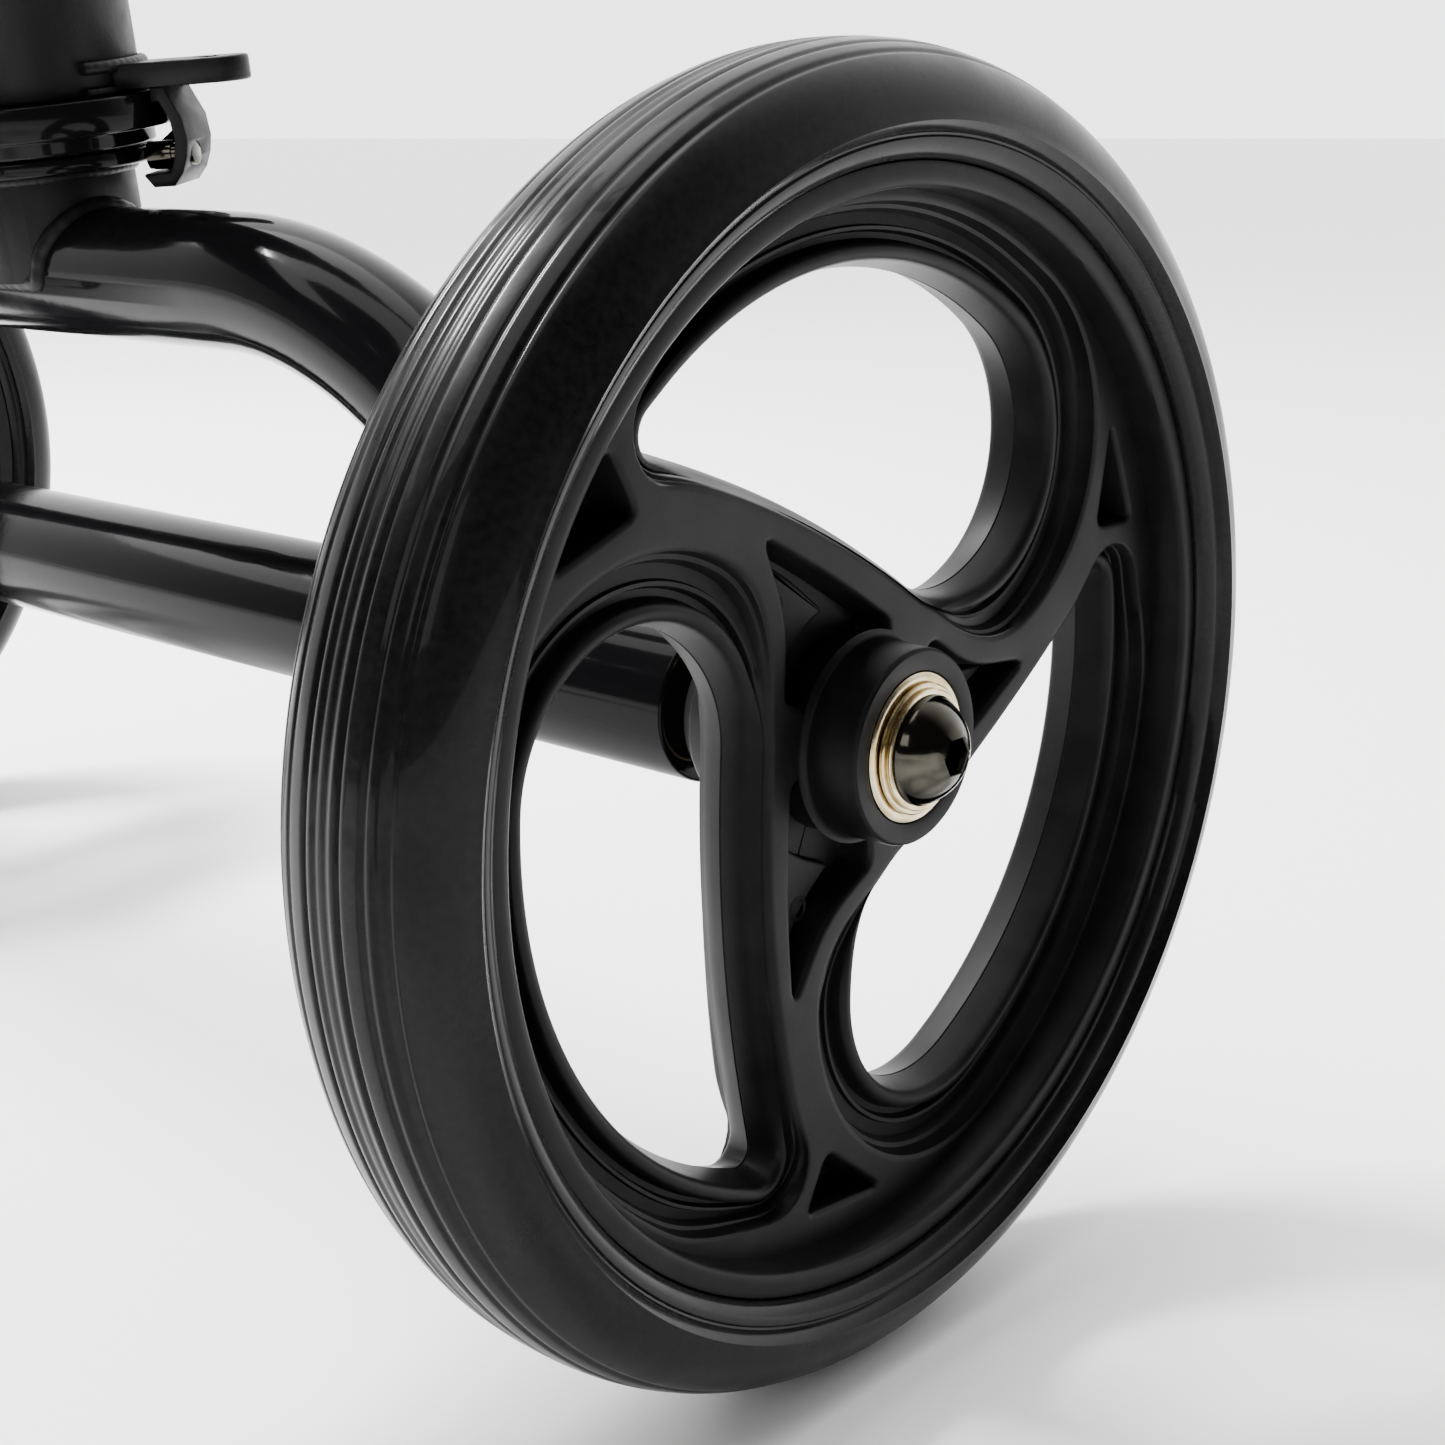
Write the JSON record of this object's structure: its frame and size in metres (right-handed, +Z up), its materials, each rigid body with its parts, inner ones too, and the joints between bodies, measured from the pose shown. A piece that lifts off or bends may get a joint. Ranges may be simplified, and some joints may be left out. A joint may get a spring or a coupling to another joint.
{
  "type": "knee scooter",
  "caption": "Four-wheeled knee scooter with a folding steering column, height-adjustable bar and knee pad, and a hand brake.",
  "frame": {"origin": "on the floor under the middle of the wheelbase, on the centre plane", "axes": "+Z up, front towards -Y, rider's right towards -X"},
  "size_m": [0.415, 0.755, 0.9006],
  "materials": {
    "gloss_black_paint": "gloss black powder coat",
    "satin_black_paint": "satin black powder coat",
    "rim_plastic": "satin moulded nylon, fine grain",
    "tyre_rubber": "semi-gloss polyurethane",
    "zinc": "yellow zinc plate",
    "dark_chrome": "black chrome",
    "steel": "bright plated steel",
    "grip_rubber": "ribbed soft rubber",
    "brake_rubber": "matte rubber",
    "pad_cover": "black vinyl with stitched seams",
    "lever_black": "semi-gloss black"
  },
  "bodies": {
    "frame": {"head_tube": "satin_black_paint", "headset_lower_cup": "gloss_black_paint", "headset_upper_cup": "gloss_black_paint", "headset_bearings": "steel", "spine_tube": "gloss_black_paint", "rear_arch": "gloss_black_paint", "rear_crossbar": "gloss_black_paint", "seat_socket": "gloss_black_paint", "seat_clamp_collar": "lever_black", "seat_clamp_bolt": "steel", "stop_lug": "satin_black_paint", "stop_ear": "satin_black_paint", "stop_bolt": "dark_chrome", "rear_axle_bolts": "dark_chrome", "rear_washers": "zinc", "brake_brackets": "satin_black_paint"},
    "fork": {"front_crossbar": "gloss_black_paint", "front_arch": "gloss_black_paint", "fork_crown": "satin_black_paint", "crown_race": "gloss_black_paint", "steerer_tube": "steel", "headset_locknut": "gloss_black_paint", "front_axle_bolts": "dark_chrome", "front_washers": "zinc", "hinge_base": "satin_black_paint", "hinge_pin": "steel", "fold_lock_collar": "lever_black"},
    "front_right_wheel": {"front_right_rim": "rim_plastic", "front_right_tyre": "tyre_rubber", "front_right_bearings": "zinc"},
    "front_left_wheel": {"front_left_rim": "rim_plastic", "front_left_tyre": "tyre_rubber", "front_left_bearings": "zinc"},
    "rear_right_wheel": {"rear_right_rim": "rim_plastic", "rear_right_tyre": "tyre_rubber", "rear_right_bearings": "zinc"},
    "rear_left_wheel": {"rear_left_rim": "rim_plastic", "rear_left_tyre": "tyre_rubber", "rear_left_bearings": "zinc"},
    "column": {"column_tube": "satin_black_paint", "height_clamp": "lever_black", "height_bolt": "steel"},
    "handlebar_set": {"inner_post": "steel", "stem_clamp": "lever_black", "handlebar": "gloss_black_paint", "grips": "grip_rubber", "lever_perch": "lever_black"},
    "brake_lever_body": {"brake_lever": "lever_black"},
    "park_button_body": {"park_button": "steel"},
    "fold_lever_body": {"fold_lever": "lever_black"},
    "height_lever_body": {"height_lever": "lever_black"},
    "seat": {"seat_post": "steel", "seat_plate": "satin_black_paint", "knee_pad": "pad_cover", "seat_bolts": "steel"},
    "seat_lever_body": {"seat_lever": "lever_black"},
    "brake_bar_body": {"brake_bar": "gloss_black_paint", "brake_shoes": "brake_rubber"}
  },
  "joints": [
    {"name": "steering", "type": "hinge", "parent": "frame", "child": "fork", "pos_m": [0, -0.26172, 0.24638], "axis": [0, 0.1219, 0.9925], "range_deg": [-35, 35]},
    {"name": "front_right_spin", "type": "hinge", "parent": "fork", "child": "front_right_wheel", "pos_m": [-0.189, -0.28, 0.0975], "axis": [1, 0, 0], "continuous": true},
    {"name": "front_left_spin", "type": "hinge", "parent": "fork", "child": "front_left_wheel", "pos_m": [0.189, -0.28, 0.0975], "axis": [1, 0, 0], "continuous": true},
    {"name": "rear_right_spin", "type": "hinge", "parent": "frame", "child": "rear_right_wheel", "pos_m": [-0.189, 0.28, 0.0975], "axis": [1, 0, 0], "continuous": true},
    {"name": "rear_left_spin", "type": "hinge", "parent": "frame", "child": "rear_left_wheel", "pos_m": [0.189, 0.28, 0.0975], "axis": [1, 0, 0], "continuous": true},
    {"name": "column_fold", "type": "hinge", "parent": "fork", "child": "column", "pos_m": [0, -0.2276, 0.52429], "axis": [-1, 0, 0], "range_deg": [0, 82]},
    {"name": "bar_height", "type": "slide", "parent": "column", "child": "handlebar_set", "axis": [0, 0.1219, 0.9925], "range_m": [0, 0.11]},
    {"name": "brake_pull", "type": "hinge", "parent": "handlebar_set", "child": "brake_lever_body", "pos_m": [-0.066, -0.21052, 0.8849], "axis": [0, -0.1219, -0.9925], "range_deg": [0, 16], "stiffness_Nm_per_rad": 1.5, "springref_deg": -11.46},
    {"name": "park_press", "type": "slide", "parent": "handlebar_set", "child": "park_button_body", "axis": [0, -0.1219, -0.9925], "range_m": [0, 0.0015], "stiffness_N_per_m": 300, "springref_m": -0.002},
    {"name": "fold_release", "type": "hinge", "parent": "fork", "child": "fold_lever_body", "pos_m": [0.0229, -0.26395, 0.47435], "axis": [0, -0.1219, -0.9925], "range_deg": [0, 140]},
    {"name": "height_release", "type": "hinge", "parent": "column", "child": "height_lever_body", "pos_m": [0.0229, -0.23044, 0.7473], "axis": [0, -0.1219, -0.9925], "range_deg": [0, 140]},
    {"name": "seat_height", "type": "slide", "parent": "frame", "child": "seat", "axis": [0, 0, 1], "range_m": [-0.08, 0]},
    {"name": "seat_release", "type": "hinge", "parent": "frame", "child": "seat_lever_body", "pos_m": [0.0229, 0.042, 0.317], "axis": [0, 0, -1], "range_deg": [0, 140]},
    {"name": "brake_apply", "type": "hinge", "parent": "frame", "child": "brake_bar_body", "pos_m": [0, 0.30279, 0.21279], "axis": [-1, 0, 0], "range_deg": [0, 3.2]}
  ],
  "couplings": [
    {"joint": "brake_apply", "follows": "brake_pull", "ratio": 0.2}
  ]
}
